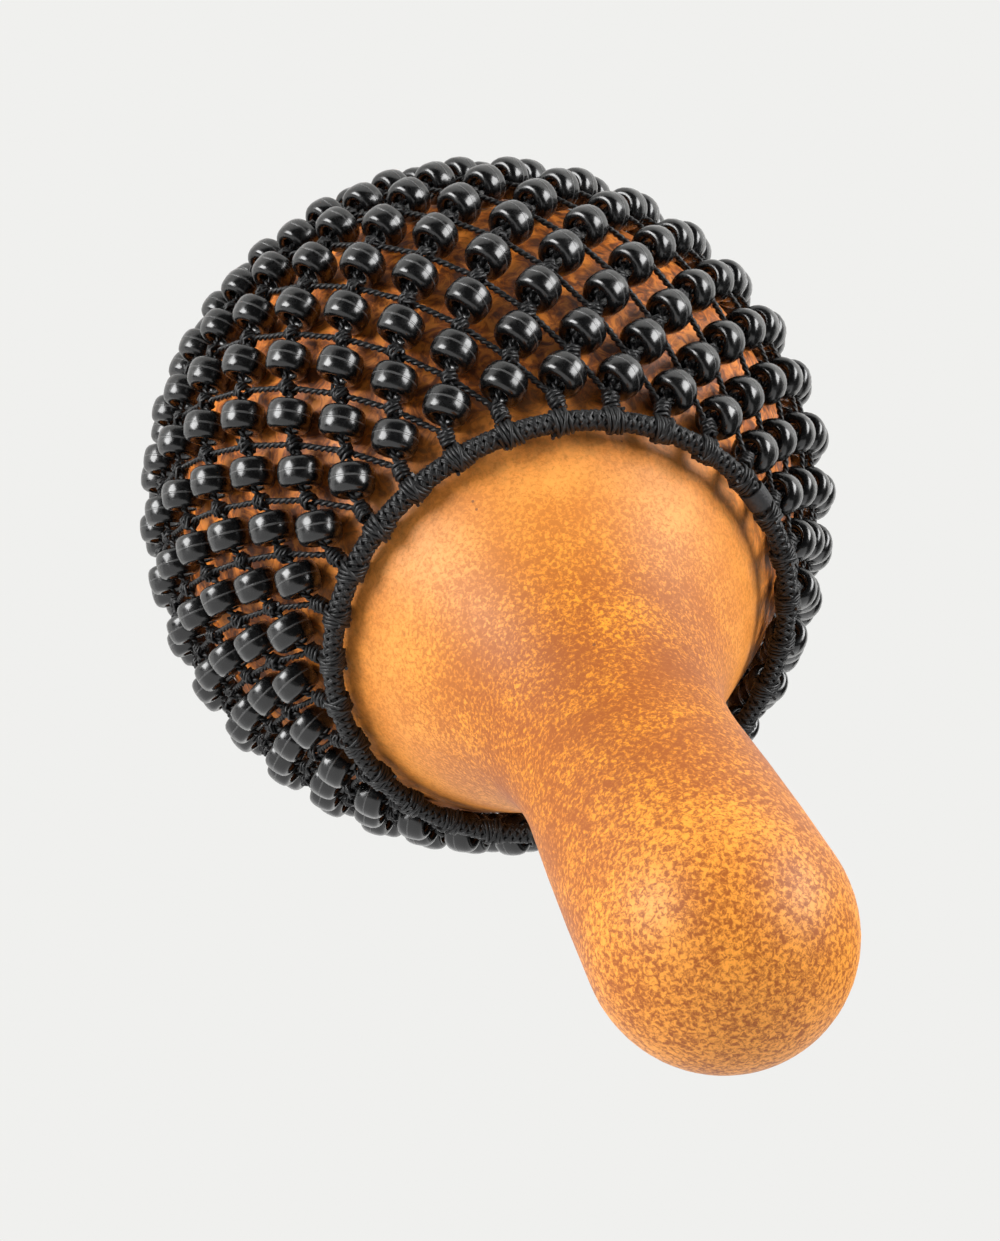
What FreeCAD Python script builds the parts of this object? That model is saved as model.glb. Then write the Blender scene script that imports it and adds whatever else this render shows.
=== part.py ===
import FreeCAD, Part

import math
import os

import Sketcher

# A beaded gourd rattle standing on its base, neck up.
# Millimetres, +Z up, origin at the centre of the flat foot.

SIZES = [
    # shell
    ("body_radius", 71.0, "outside radius of the round body"),
    ("base_radius", 17.0, "radius of the flat foot"),
    ("wall", 2.5, "laminate thickness"),
    ("shoulder_angle", 34.5, "half angle of the conical shoulder, degrees"),
    ("waist_radius", 20.3, "narrowest radius of the neck"),
    ("waist_sweep", 60.0, "radius of the hollow curve into the waist"),
    ("grip_length", 42.2, "from the waist up to the widest point of the bulb"),
    ("bulb_radius", 21.3, "radius of the bulb at the end of the neck"),
    # beads
    ("bead_radius", 4.5, "outside radius of a bead"),
    ("bead_length", 5.8, "length of a bead along its hole"),
    ("bead_hole", 2.0, "radius of the hole"),
    ("bead_rim", 1.6, "rounding of the outer rim"),
    ("bead_chamfer", 0.3, "chamfer at the mouth of the hole"),
    ("bead_lean", 16.0, "turn of a bead away from its own cord, degrees"),
    ("bead_gap", 0.4, "running clearance between a bead and the shell"),
    # cords and knots
    ("cord_radius", 0.8, "radius of the twisted net cord"),
    ("cord_room", 0.8, "share of a cord's width left free between two first-row beads"),
    ("cord_bend", 1.4, "bend radius where a cord enters a bead"),
    ("knot_radius", 2.2, "radius of a tied knot"),
    ("knot_bite", 0.15, "how far a cord's end runs into its knot"),
    ("row_room", 0.1, "spare length of a row beyond one bead and two half knots"),
    ("net_slant", 6.6, "turn of a bare cord from one row to the next, degrees"),
    # collar and hem rings
    ("collar_radius", 47.5, "radius of the collar's centre line"),
    ("collar_gap", 0.3, "least clearance between a hitch and the shell"),
    ("collar_shift", 1.3, "how far the slack collar lies off centre"),
    ("collar_side", 157.0, "compass angle of that shift, degrees"),
    ("braid_radius", 2.1, "radius of the braided ring cord"),
    ("sleeve_wall", 0.5, "wall of the fused sleeve"),
    ("sleeve_length", 4.2, "length of the fused sleeve"),
    ("hitch_length", 5.0, "width of one hitch along the ring"),
    ("hitch_wall", 1.2, "thickness of the cord drawn tight round the ring"),
]

ROWS = 12
SLEEVE_COLUMN = 14

doc = FreeCAD.newDocument("beaded_rattle")
sheet = doc.addObject("Spreadsheet::Sheet", "Sizes")
for line, (alias, value, meaning) in enumerate(SIZES, start=1):
    sheet.set(f"A{line}", alias)
    sheet.set(f"B{line}", str(value))
    sheet.set(f"C{line}", meaning)
    sheet.setAlias(f"B{line}", alias)
doc.recompute()


def size(alias):
    return float(getattr(sheet, alias))


def turn(angle):
    return math.radians(angle)


# Places that follow from the sizes.

shoulder = turn(size("shoulder_angle"))
row_pitch = size("bead_length") + 2.0 * size("knot_radius") + size("row_room")
centre_height = math.sqrt(size("body_radius") ** 2 - size("base_radius") ** 2)
waist_height = (
    size("body_radius") + size("waist_sweep")
    - (size("waist_radius") + size("waist_sweep")) * math.cos(shoulder)
) / math.sin(shoulder)
flare = 2.0 * math.atan((size("bulb_radius") - size("waist_radius")) / size("grip_length"))
grip_sweep = size("grip_length") / math.sin(flare) - size("waist_sweep")
bulb_height = waist_height + size("grip_length")
ring_rest = size("body_radius") + size("braid_radius") + size("hitch_wall") + size("collar_gap")
collar_height = (
    ring_rest - (size("collar_radius") - size("collar_shift")) * math.cos(shoulder)
) / math.sin(shoulder)

nodes = {}


def keep(node, obj):
    obj.Label = node
    nodes[node] = obj
    return obj


def origin_plane(body, role):
    return next(plane for plane in body.Origin.OriginFeatures if plane.Role == role)


# Shell: one closed hollow laminate, turned about Z.

def draw_gourd(sketch, inset, inset_text):
    """Half outline of the gourd, moved inwards by inset, closed along the axis."""
    body_r = size("body_radius") - inset
    hollow_r = size("waist_sweep") + inset
    grip_r = grip_sweep - inset
    bulb_r = size("bulb_radius") - inset
    foot_r = math.sqrt(body_r ** 2 - (centre_height - inset) ** 2)

    body_c = FreeCAD.Vector(0, centre_height, 0)
    waist_c = FreeCAD.Vector(
        size("waist_radius") + size("waist_sweep"), centre_height + waist_height, 0)
    grip_c = FreeCAD.Vector(size("bulb_radius") - grip_sweep, centre_height + bulb_height, 0)
    bulb_c = FreeCAD.Vector(0, centre_height + bulb_height, 0)
    up = FreeCAD.Vector(0, 0, 1)

    low = FreeCAD.Vector(0, inset, 0)
    foot = FreeCAD.Vector(foot_r, inset, 0)
    shoulder_low = body_c + FreeCAD.Vector(math.cos(shoulder), math.sin(shoulder), 0) * body_r
    shoulder_top = waist_c - FreeCAD.Vector(math.cos(shoulder), math.sin(shoulder), 0) * hollow_r
    top = FreeCAD.Vector(0, bulb_c.y + bulb_r, 0)

    foot_angle = math.atan2(foot.y - body_c.y, foot.x)
    base = sketch.addGeometry(Part.LineSegment(low, foot))
    belly = sketch.addGeometry(
        Part.ArcOfCircle(Part.Circle(body_c, up, body_r), foot_angle, shoulder))
    cone = sketch.addGeometry(Part.LineSegment(shoulder_low, shoulder_top))
    waist = sketch.addGeometry(
        Part.ArcOfCircle(Part.Circle(waist_c, up, hollow_r), math.pi - flare, math.pi + shoulder))
    grip = sketch.addGeometry(Part.ArcOfCircle(Part.Circle(grip_c, up, grip_r), -flare, 0.0))
    bulb = sketch.addGeometry(Part.ArcOfCircle(Part.Circle(bulb_c, up, bulb_r), 0.0, math.pi / 2))
    axis = sketch.addGeometry(Part.LineSegment(top, low))

    start, end, middle = 1, 2, 3
    join = Sketcher.Constraint
    sketch.addConstraint(join("Horizontal", base))
    sketch.addConstraint(join("PointOnObject", base, start, -2))
    sketch.addConstraint(join("Coincident", base, end, belly, start))
    sketch.addConstraint(join("PointOnObject", belly, middle, -2))
    sketch.addConstraint(join("Tangent", belly, end, cone, start))
    sketch.addConstraint(join("Tangent", cone, end, waist, end))
    sketch.addConstraint(join("Tangent", waist, start, grip, start))
    sketch.addConstraint(join("Tangent", grip, end, bulb, start))
    sketch.addConstraint(join("PointOnObject", bulb, middle, -2))
    sketch.addConstraint(join("Coincident", bulb, end, axis, start))
    sketch.addConstraint(join("PointOnObject", bulb, end, -2))
    sketch.addConstraint(join("Coincident", axis, end, base, start))

    def bind(constraint, text):
        index = sketch.addConstraint(constraint)
        sketch.setExpression(f"Constraints[{index}]", text)

    if inset:
        bind(join("DistanceY", -1, 1, base, start, inset), inset_text)
    else:
        sketch.addConstraint(join("PointOnObject", base, end, -1))
    bind(join("DistanceY", -1, 1, belly, middle, centre_height),
         "sqrt(Sizes.body_radius ^ 2 - Sizes.base_radius ^ 2)")
    bind(join("Radius", belly, body_r), f"Sizes.body_radius - {inset_text}")
    bind(join("Radius", waist, hollow_r), f"Sizes.waist_sweep + {inset_text}")
    bind(join("DistanceX", -1, 1, waist, middle, waist_c.x),
         "Sizes.waist_radius + Sizes.waist_sweep")
    bind(join("DistanceY", waist, middle, bulb, middle, size("grip_length")), "Sizes.grip_length")
    bind(join("Radius", bulb, bulb_r), f"Sizes.bulb_radius - {inset_text}")


shell = doc.addObject("PartDesign::Body", "Shell")
outer_sketch = shell.newObject("Sketcher::SketchObject", "ShellOutside")
outer_sketch.AttachmentSupport = [(origin_plane(shell, "XZ_Plane"), "")]
outer_sketch.MapMode = "FlatFace"
draw_gourd(outer_sketch, 0.0, "0")
outside = shell.newObject("PartDesign::Revolution", "ShellBody")
outside.Profile = outer_sketch
outside.ReferenceAxis = (outer_sketch, ["V_Axis"])
outside.Angle = 360.0
doc.recompute()
inner_sketch = shell.newObject("Sketcher::SketchObject", "ShellInside")
inner_sketch.AttachmentSupport = [(origin_plane(shell, "XZ_Plane"), "")]
inner_sketch.MapMode = "FlatFace"
draw_gourd(inner_sketch, size("wall"), "Sizes.wall")
cavity = shell.newObject("PartDesign::Groove", "ShellCavity")
cavity.Profile = inner_sketch
cavity.ReferenceAxis = (inner_sketch, ["V_Axis"])
cavity.Angle = 360.0
doc.recompute()
keep("gourd_shell", shell)


# The net lies on a surface one bead radius and a clearance outside the shell.

net_radius = size("body_radius") + size("bead_radius") + size("bead_gap")
straight_run = (
    (net_radius * math.cos(shoulder) - size("collar_radius")) * math.sin(shoulder)
    + (collar_height - net_radius * math.sin(shoulder)) * math.cos(shoulder)
)
ring_to_knot = size("braid_radius") + size("hitch_wall") + size("knot_radius") - size("knot_bite")


def net_point(run, angle):
    """Point of the net surface: run is measured down from the collar, angle round Z."""
    if run < straight_run:
        climb = straight_run - run
        radius = net_radius * math.cos(shoulder) - climb * math.sin(shoulder)
        height = net_radius * math.sin(shoulder) + climb * math.cos(shoulder)
    else:
        drop = shoulder - (run - straight_run) / net_radius
        radius = net_radius * math.cos(drop)
        height = net_radius * math.sin(drop)
    return FreeCAD.Vector(
        radius * math.cos(turn(angle)), radius * math.sin(turn(angle)), centre_height + height)


def knot_run(row):
    return ring_to_knot + row_pitch * row


hem_point = net_point(knot_run(ROWS) + ring_to_knot, 0.0)
column_width = 2.0 * (size("bead_radius") + size("cord_room") * size("cord_radius"))
columns = int(2.0 * math.pi * min(size("collar_radius"), hem_point.x) / column_width)
pitch_angle = 360.0 / columns


def knot_angle(row, column):
    return pitch_angle * column + size("net_slant") * row


def outward(angle):
    return FreeCAD.Vector(math.cos(turn(angle)), math.sin(turn(angle)), 0)


collar_offset = outward(size("collar_side")) * size("collar_shift")


def collar_slack(angle):
    """How much further out the shifted collar lies at a compass angle than a centred one."""
    swing = turn(angle - size("collar_side"))
    across = size("collar_shift") * math.sin(swing)
    reach = size("collar_shift") * math.cos(swing) + math.sqrt(size("collar_radius") ** 2 - across ** 2)
    return reach - size("collar_radius")


def knot_point(row, column):
    angle = knot_angle(row, column)
    place = net_point(knot_run(row), angle)
    if row == 0:
        place += outward(angle) * collar_slack(angle)
    return place


def surface_normal(run, angle):
    step = 0.01
    along = net_point(run + step, angle) - net_point(run - step, angle)
    around = net_point(run, angle + step) - net_point(run, angle - step)
    return along.cross(around).normalize()


# Bead: a short moulded barrel with a rounded rim, drawn about its own Z axis.

bead = doc.addObject("PartDesign::Body", "Bead")
bead_sketch = bead.newObject("Sketcher::SketchObject", "BeadSection")
bead_sketch.AttachmentSupport = [(origin_plane(bead, "XZ_Plane"), "")]
bead_sketch.MapMode = "FlatFace"
half_bead = size("bead_length") / 2
corners = [
    FreeCAD.Vector(size("bead_hole"), -half_bead, 0),
    FreeCAD.Vector(size("bead_radius"), -half_bead, 0),
    FreeCAD.Vector(size("bead_radius"), half_bead, 0),
    FreeCAD.Vector(size("bead_hole"), half_bead, 0),
]
for number, corner in enumerate(corners):
    bead_sketch.addGeometry(Part.LineSegment(corner, corners[(number + 1) % 4]))
for number in range(4):
    bead_sketch.addConstraint(Sketcher.Constraint("Coincident", number, 2, (number + 1) % 4, 1))
for number, kind in enumerate(["Horizontal", "Vertical", "Horizontal"]):
    bead_sketch.addConstraint(Sketcher.Constraint(kind, number))
bead_sketch.addConstraint(Sketcher.Constraint("Symmetric", 0, 1, 2, 2, -1))
for point, alias in ((1, "bead_hole"), (2, "bead_radius")):
    bound = bead_sketch.addConstraint(
        Sketcher.Constraint("DistanceX", -1, 1, 0, point, size(alias)))
    bead_sketch.setExpression(f"Constraints[{bound}]", f"Sizes.{alias}")
bound = bead_sketch.addConstraint(Sketcher.Constraint("DistanceY", 1, 1, 1, 2, size("bead_length")))
bead_sketch.setExpression(f"Constraints[{bound}]", "Sizes.bead_length")
barrel = bead.newObject("PartDesign::Revolution", "BeadBarrel")
barrel.Profile = bead_sketch
barrel.ReferenceAxis = (bead_sketch, ["V_Axis"])
barrel.Angle = 360.0
doc.recompute()


def round_edges(feature, radius):
    """Names of the circular edges of a feature that have this radius."""
    return [
        f"Edge{number}" for number, edge in enumerate(feature.Shape.Edges, start=1)
        if isinstance(edge.Curve, Part.Circle) and abs(edge.Curve.Radius - radius) < 1e-6
    ]


rim = bead.newObject("PartDesign::Fillet", "BeadRim")
rim.Base = (barrel, round_edges(barrel, size("bead_radius")))
rim.setExpression("Radius", "Sizes.bead_rim")
doc.recompute()
mouth = bead.newObject("PartDesign::Chamfer", "BeadMouth")
mouth.Base = (rim, round_edges(rim, size("bead_hole")))
mouth.setExpression("Size", "Sizes.bead_chamfer")
bead.Tip = mouth
doc.recompute()

knot = doc.addObject("Part::Sphere", "Knot")
knot.setExpression("Radius", "Sizes.knot_radius")
doc.recompute()


def place_group(node, pieces):
    """One node that holds like pieces as a group of separate solids."""
    group = doc.addObject("Part::Feature", node)
    group.Shape = Part.makeCompound(pieces)
    return keep(node, group)


def bead_frame(row, column):
    """Middle of a bead and the direction of its hole, for the cord it hangs on."""
    upper = knot_point(row - 1, column + 1)
    lower = knot_point(row, column)
    run = (knot_run(row - 1) + knot_run(row)) / 2
    angle = (knot_angle(row - 1, column + 1) + knot_angle(row, column)) / 2
    middle = net_point(run, angle)
    normal = surface_normal(run, angle)
    if row == 1:
        pull = outward(angle) * collar_slack(angle) / 2
        middle += pull - normal * min(0.0, pull.dot(normal))
    along = lower - upper
    along -= normal * along.dot(normal)
    hole = FreeCAD.Rotation(normal, -size("bead_lean")).multVec(along.normalize())
    return middle, hole


def bead_solid(row, column):
    middle, hole = bead_frame(row, column)
    solid = bead.Shape.Solids[0].copy()
    solid.Placement = FreeCAD.Placement(middle, FreeCAD.Rotation(FreeCAD.Vector(0, 0, 1), hole))
    return solid


def knot_solid(row, column):
    solid = knot.Shape.Solids[0].copy()
    solid.Placement = FreeCAD.Placement(knot_point(row, column), FreeCAD.Rotation())
    return solid


end_inset = size("knot_radius") - size("knot_bite")


def bare_cord(row, column):
    """Straight twisted cord between two knots of one chain."""
    upper = knot_point(row - 1, column)
    lower = knot_point(row, column)
    along = (lower - upper).normalize()
    length = upper.distanceToPoint(lower) - 2 * end_inset
    return Part.makeCylinder(size("cord_radius"), length, upper + along * end_inset, along)


def rounded_path(points, radius):
    """Straight runs joined by tangent arcs of one radius."""
    edges = []
    start = points[0]
    for before, corner, after in zip(points, points[1:], points[2:]):
        back = (before - corner).normalize()
        ahead = (after - corner).normalize()
        half = back.getAngle(ahead) / 2
        reach = radius / math.tan(half)
        centre = corner + (back + ahead).normalize() * (radius / math.sin(half))
        middle = centre + (corner - centre).normalize() * radius
        edges.append(Part.LineSegment(start, corner + back * reach).toShape())
        edges.append(Part.Arc(corner + back * reach, middle, corner + ahead * reach).toShape())
        start = corner + ahead * reach
    edges.append(Part.LineSegment(start, points[-1]).toShape())
    return Part.Wire(edges)


def bead_cord(row, column):
    """Cord that leaves one knot, runs through a bead and enters the next knot."""
    middle, hole = bead_frame(row, column)
    upper = knot_point(row - 1, column + 1)
    lower = knot_point(row, column)
    reach = hole * (half_bead + size("bead_chamfer"))
    enter = middle - reach
    leave = middle + reach
    upper += (enter - upper).normalize() * end_inset
    lower += (leave - lower).normalize() * end_inset
    bend = size("cord_bend")
    for before, corner, after in ((upper, enter, leave), (enter, leave, lower)):
        half = (before - corner).getAngle(after - corner) / 2
        room = min(before.distanceToPoint(corner), after.distanceToPoint(corner) / 2) * 0.9
        bend = min(bend, room * math.tan(half))
    path = rounded_path([upper, enter, leave, lower], bend)
    circle = Part.Circle(upper, enter - upper, size("cord_radius"))
    profile = Part.Wire([circle.toShape()])
    return path.makePipeShell([profile], True, False)


for row in range(ROWS + 1):
    place_group(f"knots_row_{row:02d}", [knot_solid(row, column) for column in range(columns)])
for row in range(1, ROWS + 1):
    place_group(f"beads_row_{row:02d}", [bead_solid(row, column) for column in range(columns)])
    place_group(f"bare_cords_row_{row:02d}", [bare_cord(row, column) for column in range(columns)])
    place_group(f"bead_cords_row_{row:02d}", [bead_cord(row, column) for column in range(columns)])


# Collar and hem: a braided ring, a fused sleeve over its joint, and the hitches on it.

def torus(name, ring_radius, section, sweep=None):
    ring = doc.addObject("Part::Torus", name)
    ring.Radius1 = ring_radius
    ring.setExpression("Radius2", section)
    if sweep is not None:
        ring.Angle3 = sweep
    return ring


def ring_set(name, ring_radius, place, hitch_angles):
    """Braid, sleeve and hitches of one ring that lies level at place."""
    braid = torus(f"{name}Braid", ring_radius, "Sizes.braid_radius")
    core = torus(f"{name}Core", ring_radius, "Sizes.braid_radius")

    def collar_of(part, length, section):
        sweep = math.degrees(length / ring_radius)
        outside = torus(f"{name}{part}Outside", ring_radius, section, sweep)
        tube = doc.addObject("Part::Cut", f"{name}{part}")
        tube.Base = outside
        tube.Tool = core
        doc.recompute()
        return tube, sweep

    hitch, hitch_sweep = collar_of(
        "Hitch", size("hitch_length"), "Sizes.braid_radius + Sizes.hitch_wall")
    sleeve, sleeve_sweep = collar_of(
        "Sleeve", size("sleeve_length"), "Sizes.braid_radius + Sizes.sleeve_wall")

    def turned(shape, angle):
        copy = shape.copy()
        copy.Placement = FreeCAD.Placement(
            place, FreeCAD.Rotation(FreeCAD.Vector(0, 0, 1), angle))
        return copy

    braid.Placement = FreeCAD.Placement(place, FreeCAD.Rotation())
    keep(f"{name.lower()}_braid", braid)
    seam_angle = (hitch_angles[SLEEVE_COLUMN] + hitch_angles[SLEEVE_COLUMN + 1] - sleeve_sweep) / 2
    place_group(f"{name.lower()}_sleeve", [turned(sleeve.Shape.Solids[0], seam_angle)])
    place_group(f"{name.lower()}_hitches", [
        turned(hitch.Shape.Solids[0], angle - hitch_sweep / 2) for angle in hitch_angles])


def collar_angle(column):
    """Angle about the collar's own centre that faces the first knot of a column."""
    angle = knot_angle(0, column)
    place = outward(angle) * (size("collar_radius") + collar_slack(angle)) - collar_offset
    return math.degrees(math.atan2(place.y, place.x)) % 360.0


ring_set(
    "Collar", size("collar_radius"),
    collar_offset + FreeCAD.Vector(0, 0, centre_height + collar_height),
    sorted(collar_angle(column) for column in range(columns)))
ring_set(
    "Hem", hem_point.x, FreeCAD.Vector(0, 0, hem_point.z),
    [knot_angle(ROWS, column) for column in range(columns)])


# Check every object, then write one file for each node.

doc.recompute()
for obj in doc.Objects:
    if "Invalid" in obj.State or "Error" in obj.State:
        raise RuntimeError(f"{obj.Name} failed: {obj.State}")
for node, obj in nodes.items():
    if obj.Shape.isNull() or not obj.Shape.isValid():
        raise RuntimeError(f"{node} has no valid shape")
    if any(solid.Volume <= 0 for solid in obj.Shape.Solids):
        raise RuntimeError(f"{node} is inside out")
if nodes["gourd_shell"].Shape.Volume >= outside.Shape.Volume:
    raise RuntimeError("the shell has no cavity")

os.makedirs("parts", exist_ok=True)
for node, obj in nodes.items():
    obj.Shape.exportStep(f"parts/{node}.step")
print(len(nodes), "nodes", sum(len(obj.Shape.Solids) for obj in nodes.values()), "solids")
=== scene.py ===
import math
import random

import bmesh
import bpy
from mathutils import Matrix, Vector


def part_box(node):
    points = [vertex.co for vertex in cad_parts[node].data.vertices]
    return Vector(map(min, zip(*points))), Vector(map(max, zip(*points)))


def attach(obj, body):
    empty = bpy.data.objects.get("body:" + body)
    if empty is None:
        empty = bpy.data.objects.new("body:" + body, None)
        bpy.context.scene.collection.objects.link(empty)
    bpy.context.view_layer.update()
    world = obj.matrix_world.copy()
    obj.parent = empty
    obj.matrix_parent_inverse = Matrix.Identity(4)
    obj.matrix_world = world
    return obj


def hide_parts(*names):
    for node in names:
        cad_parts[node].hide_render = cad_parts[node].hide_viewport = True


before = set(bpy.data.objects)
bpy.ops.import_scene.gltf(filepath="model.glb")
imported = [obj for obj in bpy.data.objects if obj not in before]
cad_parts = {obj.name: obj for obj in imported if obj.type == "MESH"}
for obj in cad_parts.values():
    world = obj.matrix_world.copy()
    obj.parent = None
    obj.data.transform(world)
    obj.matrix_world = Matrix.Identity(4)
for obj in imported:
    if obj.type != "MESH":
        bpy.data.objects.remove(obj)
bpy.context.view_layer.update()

MM = 0.001
scene = bpy.context.scene
scene.view_settings.view_transform = "Standard"

# Camera: a short portrait lens that looks down on the shoulder of the rattle and is
# rolled, so that the neck runs to the lower right.

FOOT_RADIUS = 17 * MM
TILT = math.radians(31.67)
ROLL = math.radians(153.81)
STAND_OFF = Vector((2.79, -26.16, 380))

shell_low, shell_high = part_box("gourd_shell")
body_radius = (shell_high.x - shell_low.x) / 2
body_centre = Vector((0, 0, math.sqrt(body_radius**2 - FOOT_RADIUS**2)))

lens = bpy.data.cameras.new("camera")
lens.lens = 46.7
lens.clip_start = 0.01
camera = bpy.data.objects.new("camera", lens)
camera_turn = Matrix.Rotation(TILT, 4, "X") @ Matrix.Rotation(ROLL, 4, "Z")
camera_place = body_centre + camera_turn @ STAND_OFF * MM
camera.matrix_world = Matrix.Translation(camera_place) @ camera_turn
scene.collection.objects.link(camera)
scene.camera = camera


# Light: two soft boxes either side of the camera and above it, a pale card from below,
# and a dim studio all round. The camera sees the floor and the studio as one even grey.

PALE = (0.871, 0.871, 0.855, 1)
STUDIO_DIM = 0.06
FLOOR_HALF = 4
FLOOR_DROP = 0.2 * MM


def softbox(name, toward, distance, width, height, power):
    """Rectangular lamp that faces the body; toward is its direction in camera axes."""
    lamp = bpy.data.lights.new(name, "AREA")
    lamp.shape = "RECTANGLE"
    lamp.size = width
    lamp.size_y = height
    lamp.energy = power
    holder = bpy.data.objects.new(name, lamp)
    away = (camera_turn.to_3x3() @ Vector(toward)).normalized()
    aim = away.to_track_quat("Z", "Y").to_matrix().to_4x4()
    holder.matrix_world = Matrix.Translation(body_centre + away * distance) @ aim
    holder.visible_camera = False
    scene.collection.objects.link(holder)


softbox("left_box", (-0.80, 0.34, 0.48), distance=0.75, width=0.38, height=0.55, power=9.0)
softbox("right_box", (0.82, 0.36, 0.40), distance=0.75, width=0.38, height=0.55, power=7.5)
softbox("low_card", (-0.25, -1.0, 0.12), distance=0.2, width=1.0, height=1.0, power=3.1)


def node(tree, kind, inputs, **settings):
    """One shader node; inputs are values, or sockets to link from."""
    made = tree.nodes.new("ShaderNode" + kind)
    for key, value in settings.items():
        setattr(made, key, value)
    for key, value in inputs.items():
        if isinstance(value, bpy.types.NodeSocket):
            tree.links.new(value, made.inputs[key])
        else:
            made.inputs[key].default_value = value
    return made


def camera_sees(tree, even, otherwise, output):
    """Gives the camera's rays one shader and every other ray another."""
    seen = node(tree, "LightPath", {}).outputs["Is Camera Ray"]
    mix = node(tree, "MixShader", {0: seen, 1: otherwise.outputs[0], 2: even.outputs[0]})
    node(tree, output, {0: mix.outputs[0]})


studio = bpy.data.worlds.new("studio")
scene.world = studio
studio.use_nodes = True
tree = studio.node_tree
tree.nodes.clear()
dim = node(tree, "Background", {"Color": PALE, "Strength": STUDIO_DIM})
sweep = node(tree, "Background", {"Color": PALE, "Strength": 1.0})
camera_sees(tree, sweep, dim, "OutputWorld")

floor_mesh = bpy.data.meshes.new("floor")
bm = bmesh.new()
bmesh.ops.create_grid(bm, x_segments=2, y_segments=2, size=FLOOR_HALF)
bmesh.ops.translate(bm, verts=bm.verts, vec=(0, 0, -FLOOR_DROP))
bm.to_mesh(floor_mesh)
bm.free()
floor = bpy.data.objects.new("floor", floor_mesh)
scene.collection.objects.link(floor)
paper = bpy.data.materials.new("floor_paper")
paper.use_nodes = True
tree = paper.node_tree
tree.nodes.clear()
matt = node(tree, "BsdfDiffuse", {"Color": PALE})
even = node(tree, "Emission", {"Color": PALE, "Strength": 1.0})
camera_sees(tree, even, matt, "OutputMaterial")
floor_mesh.materials.append(paper)


# Shell: one hollow glass-fibre gourd, sprayed golden orange, stippled with brown and
# finished in satin lacquer with a few burst bubbles. Under the net and in a band just above
# the collar it is painted darker with dark streaks: partly a browner paint, partly painted
# shade of the net and its beads.

BULB_GOLD = (0.86, 0.35, 0.06, 1)
BODY_BROWN = (0.54, 0.175, 0.026, 1)
NECK_BROWN = (0.31, 0.078, 0.005, 1)
PIT_BROWN = (0.12, 0.04, 0.02, 1)


def material(name, **constants):
    """A new Principled material with constant sockets set directly on its shader."""
    made = bpy.data.materials.new(name)
    made.use_nodes = True
    shader = made.node_tree.nodes["Principled BSDF"]
    for key, value in constants.items():
        shader.inputs[key.replace("_", " ")].default_value = value
    return made, made.node_tree, shader


def noise(tree, place, scale, detail, roughness, distortion=0.0):
    """Noise value at a place, with scale lumps to the metre."""
    made = node(tree, "TexNoise", {
        "Vector": place, "Scale": scale, "Detail": detail, "Roughness": roughness,
        "Distortion": distortion})
    return made.outputs[0]


def ramp(tree, fac, *stops):
    """Colour ramp from (position, colour) stops."""
    made = node(tree, "ValToRGB", {0: fac})
    band = made.color_ramp
    while len(band.elements) < len(stops):
        band.elements.new(0.5)
    for element, (position, colour) in zip(band.elements, stops):
        element.position = position
        element.color = (*colour, 1)
    return made.outputs[0]


def between(tree, value, low, high, start=0.0, end=1.0):
    """Value spread smoothly from low..high to start..end."""
    made = node(tree, "MapRange", {
        "Value": value, "From Min": low, "From Max": high, "To Min": start, "To Max": end},
        interpolation_type="SMOOTHSTEP")
    return made.outputs[0]


def maths(tree, operation, first, second=0.0):
    return node(tree, "Math", {0: first, 1: second}, operation=operation).outputs[0]


def weighted(tree, *terms):
    """Sum of (value, weight) terms."""
    total = 0.0
    for value, weight in terms:
        total = maths(tree, "ADD", total, maths(tree, "MULTIPLY", value, weight))
    return total


def mix_colour(tree, fac, first, second):
    return node(tree, "Mix", {0: fac, 6: first, 7: second}, data_type="RGBA").outputs[2]


def bump(tree, shader, relief, strength, distance):
    made = node(tree, "Bump", {"Height": relief, "Strength": strength, "Distance": distance})
    tree.links.new(made.outputs[0], shader.inputs["Normal"])


lacquer, tree, shader = material(
    "shell_lacquer", IOR=1.42, Coat_Weight=0.05, Coat_Roughness=0.4)
place = node(tree, "TexCoord", {}).outputs["Object"]
height = node(tree, "SeparateXYZ", {0: place}).outputs["Z"]
blotch = noise(tree, place, 75, 4, 0.6)
stipple = noise(tree, place, 1250, 4, 0.68, 0.5)
grain = noise(tree, place, 3600, 2, 0.6)
streak = noise(tree, place, 260, 4, 0.65, 1.2)
orange_peel = noise(tree, place, 520, 2, 0.5)
up_neck = between(tree, height, 118 * MM, 172 * MM)
up_bulb = between(tree, height, 200 * MM, 245 * MM)
# Mask of the darkened shell: full below 116 mm, fading out by 143 mm. What it darkens is
# partly browner paint, partly painted shade of the net.
under_net_paint_and_shade = between(tree, height, 116 * MM, 143 * MM, 0.95, 0.0)

body_gold = ramp(tree, blotch, (0.3, (0.84, 0.345, 0.085)), (0.7, (0.74, 0.28, 0.055)))
neck_gold = ramp(tree, blotch, (0.3, (0.82, 0.3, 0.014)), (0.7, (0.7, 0.23, 0.01)))
gold = mix_colour(tree, up_neck, body_gold, neck_gold)
gold = mix_colour(tree, maths(tree, "MULTIPLY", up_bulb, 0.5), gold, BULB_GOLD)
brown = mix_colour(tree, up_neck, BODY_BROWN, NECK_BROWN)
spot = weighted(
    tree, (blotch, 0.3), (up_neck, 0.125), (up_bulb, -0.085), (stipple, 1.0), (grain, 0.16))
cover = maths(
    tree, "MULTIPLY", between(tree, spot, 0.66, 0.9),
    between(tree, up_neck, 0.0, 1.0, 0.55, 1.0))
paint = mix_colour(tree, cover, gold, brown)
# Darker, streaked browns for under the net and just above the collar: partly a browner
# paint, partly painted shade cast by the net and its beads.
dark_paint_and_net_shade = ramp(
    tree, streak, (0.4, (0.74, 0.235, 0.03)), (0.5, (0.44, 0.11, 0.012)),
    (0.6, (0.12, 0.028, 0.007)))
paint = mix_colour(tree, under_net_paint_and_shade, paint, dark_paint_and_net_shade)

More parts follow.
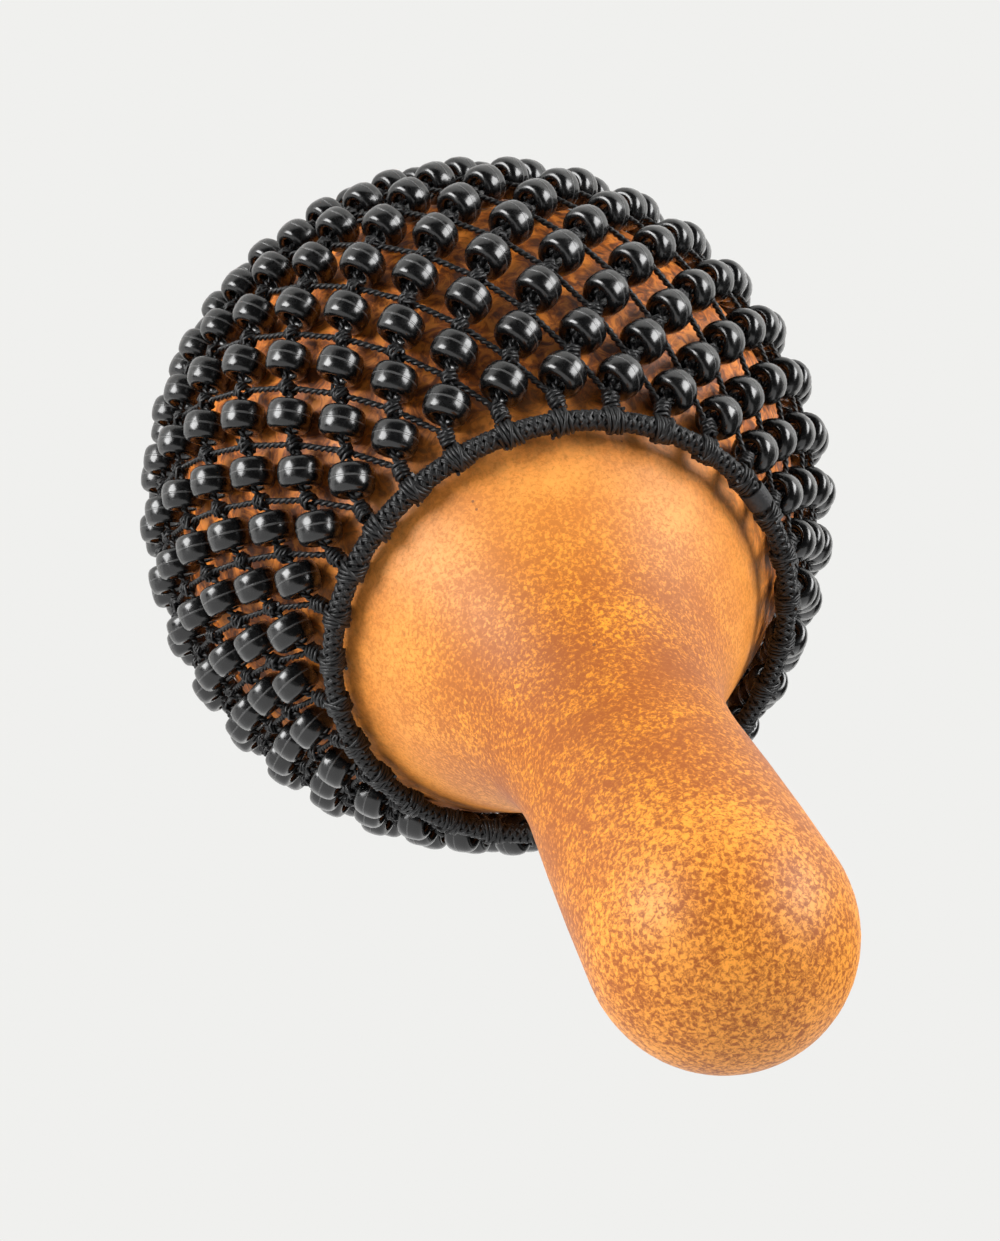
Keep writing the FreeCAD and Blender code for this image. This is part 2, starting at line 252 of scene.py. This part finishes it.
cells = node(
    tree, "TexVoronoi", {"Vector": place, "Scale": 260, "Randomness": 1.0}, feature="F1")
draw = node(tree, "SeparateXYZ", {0: cells.outputs["Color"]}).outputs[0]
pit = maths(
    tree, "MULTIPLY", between(tree, cells.outputs["Distance"], 0.06, 0.1, 1.0, 0.0),
    between(tree, draw, 0.9, 0.92))
paint = mix_colour(tree, maths(tree, "MULTIPLY", pit, 0.7), paint, PIT_BROWN)
tree.links.new(paint, shader.inputs["Base Color"])
tree.links.new(between(tree, stipple, 0.3, 0.7, 0.48, 0.6), shader.inputs["Roughness"])
bump(tree, shader, weighted(tree, (orange_peel, 0.6), (pit, -1.0)), 0.16, 0.12 * MM)
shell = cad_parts["gourd_shell"]
shell.data.materials.clear()
shell.data.materials.append(lacquer)


# Collar and hem: a round cord braided from eight carriers of yarn over a core, laid in
# a ring. The net hangs from one round the shoulder and is closed by the other below.

CARRIERS = 8
CARRIER_LAY = 6.9 * MM
CARRIER_WIDTH = 1.2 * MM
YARN_SPREAD = 0.36
YARN_INSET = 0.62
WEAVE_DEPTH = 0.2 * MM
CROSSINGS = 4
CORE_INSET = 1.7
CORE_STEPS = 96

black_yarn, tree, shader = material(
    "black_yarn", IOR=1.45, Sheen_Weight=0.03, Sheen_Roughness=0.4)
place = node(tree, "TexCoord", {}).outputs["Object"]
fibre = noise(tree, place, 5200, 2, 0.7)
shade = ramp(tree, fibre, (0.3, (0.0015, 0.0015, 0.0015)), (0.72, (0.009, 0.009, 0.01)))
tree.links.new(shade, shader.inputs["Base Color"])
tree.links.new(between(tree, fibre, 0.3, 0.7, 0.3, 0.52), shader.inputs["Roughness"])
bump(tree, shader, fibre, 0.5, 0.08 * MM)


def yarn_curve(name, paths, thickness, sides, closed=False):
    """Mesh of round yarns, one along each list of points."""
    curve = bpy.data.curves.new(name, "CURVE")
    curve.dimensions = "3D"
    curve.resolution_u = 1
    curve.bevel_depth = thickness / 2
    curve.bevel_resolution = sides // 2 - 2
    curve.use_fill_caps = not closed
    for path in paths:
        spline = curve.splines.new("NURBS")
        spline.points.add(len(path) - 1)
        for point, spot in zip(spline.points, path):
            point.co = (*spot, 1)
        spline.order_u = 3
        spline.use_cyclic_u = closed
        spline.use_endpoint_u = not closed
    holder = bpy.data.objects.new(name, curve)
    scene.collection.objects.link(holder)
    bpy.context.view_layer.update()
    mesh = bpy.data.meshes.new_from_object(
        holder.evaluated_get(bpy.context.evaluated_depsgraph_get()))
    bpy.data.objects.remove(holder)
    bpy.data.curves.remove(curve)
    mesh.name = name
    return mesh


def piece(name, mesh, finish, body, nodes):
    """Puts a finished mesh into the scene in place of its CAD nodes."""
    mesh.name = name
    mesh.materials.clear()
    mesh.materials.append(finish)
    mesh.shade_smooth()
    made = bpy.data.objects.new(name, mesh)
    scene.collection.objects.link(made)
    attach(made, body)
    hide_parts(*nodes)
    return made


def ring_of(cad_node):
    """Centre, ring radius and cord radius of a braided ring."""
    low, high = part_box(cad_node)
    cord = (high.z - low.z) / 2
    return (low + high) / 2, (high.x - low.x) / 2 - cord, cord


def outward(angle):
    return Vector((math.cos(angle), math.sin(angle), 0))


def braid(cad_node, name, yarns_per_carrier, steps_per_turn, sides):
    """Carriers wound both ways round a ring, each over and under the ones it meets."""
    centre, ring, cord = ring_of(cad_node)
    turns = round(2 * math.pi * ring / CARRIER_LAY)
    count = turns * steps_per_turn
    thickness = CARRIER_WIDTH / yarns_per_carrier ** 0.5
    paths = []
    for carrier in range(CARRIERS):
        way = 1 if carrier % 2 else -1
        start = math.pi / 2 * (carrier // 2)
        for yarn in range(yarns_per_carrier):
            spread = (yarn - (yarns_per_carrier - 1) / 2) * YARN_SPREAD
            path = []
            for step in range(count):
                run = 2 * math.pi * step / count
                wind = run * turns
                weave = math.cos(CROSSINGS * wind + (math.pi if way < 0 else 0))
                radius = cord - thickness * YARN_INSET + WEAVE_DEPTH * weave
                angle = way * wind + start + spread
                out = ring + radius * math.cos(angle)
                path.append(centre + Vector((
                    out * math.cos(run), out * math.sin(run), radius * math.sin(angle))))
            paths.append(path)
    core = [
        centre + outward(2 * math.pi * step / CORE_STEPS) * ring
        for step in range(CORE_STEPS)]
    plaited = bmesh.new()
    plaited.from_mesh(yarn_curve(name, paths, thickness, sides, closed=True))
    core_width = 2 * cord - CORE_INSET * thickness
    plaited.from_mesh(yarn_curve(name, [core], core_width, 8, closed=True))
    mesh = bpy.data.meshes.new(name)
    plaited.to_mesh(mesh)
    plaited.free()
    return piece(name, mesh, black_yarn, "net", [cad_node])


braid("collar_braid", "collar_cord", yarns_per_carrier=2, steps_per_turn=24, sides=4)
braid("hem_braid", "hem_cord", yarns_per_carrier=1, steps_per_turn=16, sides=4)


# Net layout: knots lie on a surface one bead outside the shell, in rows that step round
# it, so that bare legs lean one way and bead legs the other.

ROWS = 12
SHOULDER = math.radians(34.5)
BEAD_RADIUS = 4.5 * MM
BEAD_LENGTH = 5.8 * MM
BEAD_GAP = 0.4 * MM
BEAD_LEAN = math.radians(16)
CORD_RADIUS = 0.8 * MM
CORD_ROOM = 0.8
KNOT_RADIUS = 2.2 * MM
KNOT_BITE = 0.15 * MM
HITCH_WALL = 1.2 * MM
ROW_PITCH = BEAD_LENGTH + 2 * KNOT_RADIUS + 0.1 * MM
NET_SLANT = math.radians(6.6)

collar_centre, collar_radius, collar_cord = ring_of("collar_braid")
columns = int(2 * math.pi * collar_radius / (2 * (BEAD_RADIUS + CORD_ROOM * CORD_RADIUS)))
column_step = 2 * math.pi / columns
net_radius = body_radius + BEAD_RADIUS + BEAD_GAP
ring_to_knot = collar_cord + HITCH_WALL + KNOT_RADIUS - KNOT_BITE
collar_rise = collar_centre.z - body_centre.z
straight_run = (
    (net_radius * math.cos(SHOULDER) - collar_radius) * math.sin(SHOULDER)
    + (collar_rise - net_radius * math.sin(SHOULDER)) * math.cos(SHOULDER))
collar_shift = Vector((collar_centre.x, collar_centre.y, 0))


def net_point(run, angle, lift=0.0):
    """Point of the net: run goes down from the collar, angle round the axis."""
    if run < straight_run:
        drop = SHOULDER
        climb = straight_run - run
    else:
        drop = SHOULDER - (run - straight_run) / net_radius
        climb = 0.0
    reach = net_radius + lift
    radius = reach * math.cos(drop) - climb * math.sin(SHOULDER)
    height = reach * math.sin(drop) + climb * math.cos(SHOULDER)
    return body_centre + outward(angle) * radius + Vector((0, 0, height))


def net_normal(run, angle):
    return (net_point(run, angle, MM) - net_point(run, angle)).normalized()


def collar_slack(angle):
    """How much further out the slack collar hangs at this angle than a centred one."""
    side = collar_shift.dot(outward(angle))
    across = collar_shift.length_squared - side**2
    return side + math.sqrt(collar_radius**2 - across) - collar_radius


def knot_angle(row, column):
    return column_step * column + NET_SLANT * row


def knot_run(row):
    return ring_to_knot + ROW_PITCH * row


def knot_point(row, column):
    angle = knot_angle(row, column)
    point = net_point(knot_run(row), angle)
    if row == 0:
        point += outward(angle) * collar_slack(angle)
    return point


def frame_on(point, along, normal):
    """Placement with Z along a cord and X away from the shell."""
    z = along.normalized()
    y = z.cross(normal).normalized()
    x = y.cross(z)
    turn = Matrix((x, y, z)).transposed().to_4x4()
    return Matrix.Translation(point) @ turn


# Hitches: each net cord starts on a ring with four or five turns drawn tight side by
# side, and one more strand that leans across them the other way.

HITCH_YARN = 0.76 * MM

chance = random.Random(11)


def wound_yarn(turns, steps, radius, rise, belly, lean, spread):
    """Points of one yarn wound about Z: belly bulges the middle, lean tips the turns."""
    count = int(turns * steps)
    start = chance.uniform(0, 2 * math.pi)
    path = []
    for step in range(count + 1):
        share = step / count
        angle = start + 2 * math.pi * turns * share
        bulge = 1 + belly * (1 - (2 * share - 1) ** 2) + chance.uniform(-spread, spread)
        height = rise * (share - 0.5) + lean * radius * math.cos(angle)
        path.append(Vector((
            radius * bulge * math.cos(angle), radius * bulge * math.sin(angle), height)))
    return path


def hitches(cad_node, ring_node, name, angles, sides):
    """One hitch at each angle of a braided ring."""
    centre, ring, cord = ring_of(ring_node)
    paths = []
    for angle in angles:
        spot = centre + outward(angle) * ring
        along = Vector((-math.sin(angle), math.cos(angle), 0))
        place = frame_on(spot, along, outward(angle))
        wound = wound_yarn(
            turns=chance.choice((4.2, 4.7, 5.2)), steps=9, radius=cord + 0.3 * MM,
            rise=3.7 * MM, belly=0.05, lean=chance.uniform(0.15, 0.4), spread=0.035)
        paths.append([place @ point for point in wound])
        ridge = wound_yarn(
            turns=1.4, steps=9, radius=cord + 0.7 * MM,
            rise=1.4 * MM, belly=0.0, lean=chance.uniform(-0.5, -0.25), spread=0.03)
        paths.append([place @ point for point in ridge])
    mesh = yarn_curve(name, paths, HITCH_YARN, sides)
    return piece(name, mesh, black_yarn, "net", [cad_node])


def collar_angle(column):
    """Angle round the shifted collar at which a column's cord leaves it."""
    angle = knot_angle(0, column)
    spot = outward(angle) * (collar_radius + collar_slack(angle)) - collar_shift
    return math.atan2(spot.y, spot.x)


hitches(
    "collar_hitches", "collar_braid", "collar_hitch_cords",
    [collar_angle(column) for column in range(columns)], sides=6)
hitches(
    "hem_hitches", "hem_braid", "hem_hitch_cords",
    [knot_angle(ROWS, column) for column in range(columns)], sides=4)


# Sleeves: where the ends of each braid meet they are melted together under a short fused
# cover, dull black and slightly rippled.

fused, tree, shader = material("fused_cover", Base_Color=(0.014, 0.014, 0.015, 1), IOR=1.45)
place = node(tree, "TexCoord", {}).outputs["Object"]
ripple = noise(tree, place, 1500, 3, 0.6)
tree.links.new(between(tree, ripple, 0.3, 0.7, 0.38, 0.6), shader.inputs["Roughness"])
bump(tree, shader, ripple, 0.6, 0.25 * MM)
for cad_node in ("collar_sleeve", "hem_sleeve"):
    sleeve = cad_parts[cad_node]
    sleeve.data.materials.clear()
    sleeve.data.materials.append(fused)


# Knots: each is the two net cords tied over one another, which reads as a small barrel
# of tight slanting turns with two strands across it. The end rows sit close to a ring.

KNOT_YARN = 0.84 * MM
TO_RING = {0: -0.6 * MM, ROWS: 0.4 * MM}


def knots(row):
    turns, length, reach = 3.1, 2.8 * MM, 1.55 * MM
    if row == 0:
        turns, length, reach = 4.2, 3.8 * MM, 1.5 * MM
    run = knot_run(row)
    paths = []
    for column in range(columns):
        angle = knot_angle(row, column)
        normal = net_normal(run, angle)
        along = net_point(run + MM, angle) - net_point(run - MM, angle)
        along.rotate(Matrix.Rotation(chance.uniform(-0.3, 0.3), 3, normal))
        spot = knot_point(row, column) + along.normalized() * TO_RING.get(row, 0.0)
        place = frame_on(spot, along, normal)
        wound = wound_yarn(
            turns, steps=6, radius=reach, rise=length, belly=0.16,
            lean=chance.uniform(-0.35, 0.35), spread=0.07)
        paths.append([place @ point for point in wound])
        for tip in (chance.uniform(38, 58), chance.uniform(-58, -38)):
            tie = (
                place @ Matrix.Rotation(chance.uniform(0, math.pi), 4, "Z")
                @ Matrix.Rotation(math.radians(tip), 4, "Y"))
            cross = wound_yarn(
                turns=1.2, steps=6, radius=reach + 0.14 * MM, rise=0.8 * MM, belly=0.0,
                lean=0.1, spread=0.07)
            paths.append([tie @ point for point in cross])
    mesh = yarn_curve(f"net_knots_{row:02d}", paths, KNOT_YARN, sides=4)
    piece(
        f"net_knots_{row:02d}", mesh, black_yarn, "net", [f"knots_row_{row:02d}"])


for row in range(ROWS + 1):
    knots(row)


# Legs: the net cord is two plies twisted together. Bare legs run from knot to knot, and
# bead legs bend into a bead's hole, through it and out to the next knot.

PLY_WIDTH = 0.82 * MM
PLY_SPACING = 0.78 * MM
PLY_LAY = 3.0 * MM
STEPS_PER_LAY = 6
KNOT_INSET = 0.75
HOLE_REACH = 0.52
BEND_SHARE = 0.3


def two_ply(route):
    """Points of both plies twisted round a route of straight runs."""
    lengths = [(b - a).length for a, b in zip(route, route[1:])]
    total = sum(lengths)
    count = max(4, int(total / PLY_LAY * STEPS_PER_LAY))
    start = chance.uniform(0, math.pi)
    side = (route[-1] - route[0]).normalized().orthogonal().normalized()
    plies = [[], []]
    for step in range(count + 1):
        ahead = total * step / count
        for a, length, b in zip(route, lengths, route[1:]):
            if ahead <= length or b is route[-1]:
                spot = a.lerp(b, min(1.0, ahead / length))
                along = (b - a).normalized()
                break
            ahead -= length
        across = along.cross(side).normalized()
        up = across.cross(along)
        angle = start + 2 * math.pi * (total / PLY_LAY * step / count)
        for number, path in enumerate(plies):
            turn = angle + math.pi * number
            out = across * math.cos(turn) + up * math.sin(turn)
            path.append(spot + out * PLY_SPACING / 2)
    return plies


def bead_frame(row, column):
    """Middle of a bead, the line of its hole and the way out from the shell."""
    upper = knot_point(row - 1, column + 1)
    lower = knot_point(row, column)
    run = (knot_run(row - 1) + knot_run(row)) / 2
    angle = (knot_angle(row - 1, column + 1) + knot_angle(row, column)) / 2
    middle = net_point(run, angle)
    normal = net_normal(run, angle)
    if row == 1:
        pull = outward(angle) * collar_slack(angle) / 2
        middle += pull - normal * min(0.0, pull.dot(normal))
    along = lower - upper
    along -= normal * along.dot(normal)
    hole = Matrix.Rotation(-BEAD_LEAN, 3, normal) @ along.normalized()
    return middle, hole, normal


def legs(name, paths, cad_node):
    mesh = yarn_curve(name, paths, PLY_WIDTH, sides=4)
    piece(name, mesh, black_yarn, "net", [cad_node])


for row in range(1, ROWS + 1):
    bare = []
    beaded = []
    for column in range(columns):
        upper = knot_point(row - 1, column)
        lower = knot_point(row, column)
        inset = (lower - upper).normalized() * KNOT_RADIUS * KNOT_INSET
        bare += two_ply([upper + inset, lower - inset])
        middle, hole, normal = bead_frame(row, column)
        upper = knot_point(row - 1, column + 1)
        reach = hole * BEAD_LENGTH * HOLE_REACH
        beaded += two_ply([
            upper.lerp(middle - reach, BEND_SHARE), middle - reach, middle + reach,
            lower.lerp(middle + reach, BEND_SHARE)])
    legs(f"bare_legs_{row:02d}", bare, f"bare_cords_row_{row:02d}")
    legs(f"bead_legs_{row:02d}", beaded, f"bead_cords_row_{row:02d}")


# Beads: glossy black barrels, injection moulded, with rounded rims, flat ends and a fine
# parting line round the middle. One is threaded on every bead leg. The section gives
# radius and height along the hole, in millimetres.

SIDES = 12
BLACK = (0.002, 0.002, 0.0022, 1)
SEAM_GREY = (0.05, 0.05, 0.05, 1)
SECTION = [
    (1.75, -1.9), (2.2, -3.0), (3.45, -3.05), (4.32, -2.35), (4.58, -0.8),
    (4.58, 0.8), (4.32, 2.35), (3.45, 3.05), (2.2, 3.0), (1.75, 1.9)]

gloss, tree, shader = material(
    "bead_plastic", IOR=1.5, Coat_Weight=0.35, Coat_Roughness=0.14)
place = node(tree, "TexCoord", {}).outputs["Object"]
along = node(tree, "Attribute", {}, attribute_name="along").outputs["Fac"]
seam = between(tree, maths(tree, "ABSOLUTE", along), 0.08, 0.26, 1.0, 0.0)
scuff = noise(tree, place, 700, 4, 0.7)
tree.links.new(mix_colour(tree, seam, BLACK, SEAM_GREY), shader.inputs["Base Color"])
tree.links.new(between(tree, scuff, 0.35, 0.7, 0.2, 0.34), shader.inputs["Roughness"])
bump(tree, shader, weighted(tree, (seam, 3.0), (scuff, 0.25)), 0.6, 0.1 * MM)

# One bead is spun from its section, a little wide so that smoothing brings it back to
# size, and remembers how far each point lies along the hole.

swell = 3 / (2 + math.cos(2 * math.pi / SIDES))
bm = bmesh.new()
corners = [bm.verts.new((radius * swell * MM, 0, height * MM)) for radius, height in SECTION]
edges = [bm.edges.new((a, b)) for a, b in zip(corners, corners[1:] + corners[:1])]
bmesh.ops.spin(
    bm, geom=corners + edges, axis=(0, 0, 1), cent=(0, 0, 0), angle=2 * math.pi, steps=SIDES,
    use_merge=True)
bmesh.ops.remove_doubles(bm, verts=bm.verts, dist=0.001 * MM)
bmesh.ops.recalc_face_normals(bm, faces=bm.faces)
along_layer = bm.verts.layers.float.new("along")
for vert in bm.verts:
    vert[along_layer] = vert.co.z / MM
bead_shape = bpy.data.meshes.new("bead_shape")
bm.to_mesh(bead_shape)
bm.free()

for row in range(1, ROWS + 1):
    bm = bmesh.new()
    for column in range(columns):
        middle, hole, normal = bead_frame(row, column)
        hole.rotate(Matrix.Rotation(chance.uniform(-0.05, 0.05), 3, normal))
        place = frame_on(middle, hole, normal)
        place = place @ Matrix.Rotation(chance.uniform(0, math.pi), 4, "Z")
        before = len(bm.verts)
        bm.from_mesh(bead_shape)
        bm.verts.ensure_lookup_table()
        bmesh.ops.transform(bm, matrix=place, verts=bm.verts[before:])
    mesh = bpy.data.meshes.new(f"beads_{row:02d}")
    bm.to_mesh(mesh)
    bm.free()
    beads = piece(
        f"beads_{row:02d}", mesh, gloss, f"bead_ring_{row:02d}",
        [f"beads_row_{row:02d}"])
    smooth = beads.modifiers.new("round", "SUBSURF")
    smooth.levels = 1
    smooth.render_levels = 1
